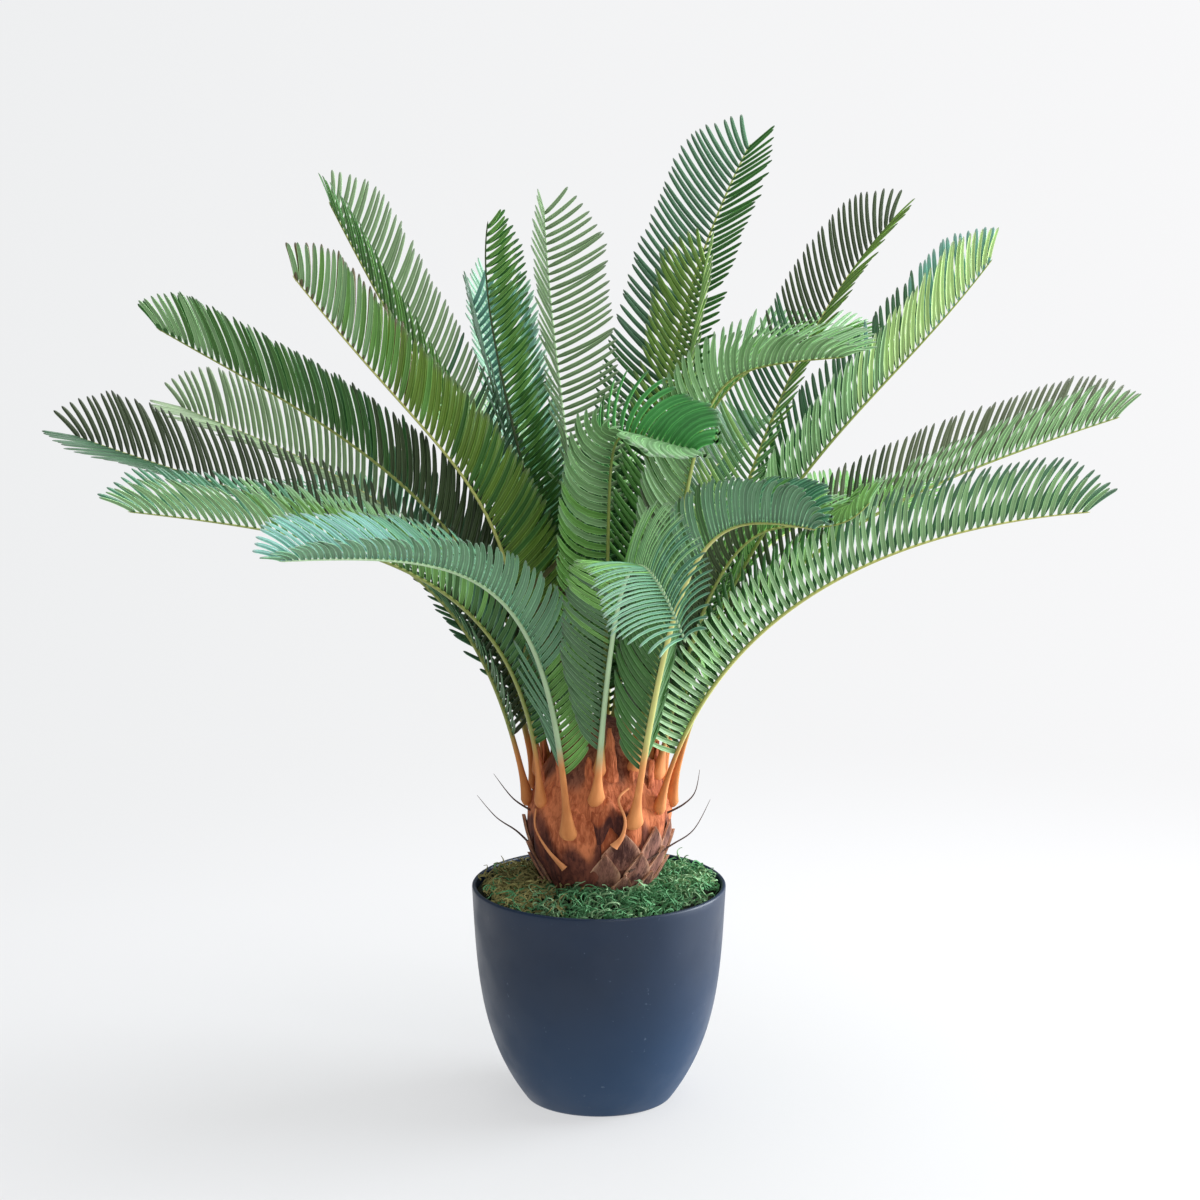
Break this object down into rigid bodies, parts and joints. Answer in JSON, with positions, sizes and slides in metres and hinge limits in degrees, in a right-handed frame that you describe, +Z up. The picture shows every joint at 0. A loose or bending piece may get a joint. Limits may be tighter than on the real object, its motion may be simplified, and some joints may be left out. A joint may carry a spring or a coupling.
{
  "type": "artificial potted sago palm",
  "caption": "Artificial sago palm: a bulb-shaped scaly trunk with arching feathery fronds, set in moss in a tapered round pot.",
  "frame": {"origin": "centre of the pot's flat underside, on the surface it stands on", "axes": "+Z up through the middle of the pot and trunk; -Y is the front, +X the right as seen from the front"},
  "size_m": [0.9935, 0.9286, 0.885],
  "materials": {
    "pot": "satin dark slate blue, faintly mottled",
    "filling": "rough cast filling, hidden under the moss",
    "moss": "preserved moss, curly and matte",
    "trunk": "matte brown leaf bases under orange fibre",
    "frond": "satin green plastic leaflets on a paler rib"
  },
  "bodies": {
    "root": {"frond_back_1_lower": "frond", "frond_back_1_upper": "frond", "frond_back_2_lower": "frond", "frond_back_2_upper": "frond", "frond_back_3_lower": "frond", "frond_back_3_upper": "frond", "frond_back_4_lower": "frond", "frond_back_4_upper": "frond", "frond_back_5_lower": "frond", "frond_back_5_upper": "frond", "frond_front_1_lower": "frond", "frond_front_1_upper": "frond", "frond_front_2_lower": "frond", "frond_front_2_upper": "frond", "frond_front_3_lower": "frond", "frond_front_3_upper": "frond", "frond_front_4_lower": "frond", "frond_front_4_upper": "frond", "frond_front_5_lower": "frond", "frond_front_5_upper": "frond", "frond_front_6_lower": "frond", "frond_front_6_upper": "frond", "frond_left_1_lower": "frond", "frond_left_1_upper": "frond", "frond_left_2_lower": "frond", "frond_left_2_upper": "frond", "frond_left_3": "frond", "frond_left_4": "frond", "frond_left_5": "frond", "frond_left_6": "frond", "frond_left_7_lower": "frond", "frond_left_7_upper": "frond", "frond_right_1": "frond", "frond_right_2": "frond", "frond_right_3_lower": "frond", "frond_right_3_upper": "frond", "frond_right_4_lower": "frond", "frond_right_4_upper": "frond", "frond_right_5_lower": "frond", "frond_right_5_upper": "frond", "frond_top_1": "frond", "frond_top_2": "frond", "frond_top_3": "frond", "frond_top_4": "frond", "frond_top_5": "frond", "moss": "moss", "pot": "pot", "pot_filling": "filling", "trunk": "trunk"}
  },
  "joints": []
}
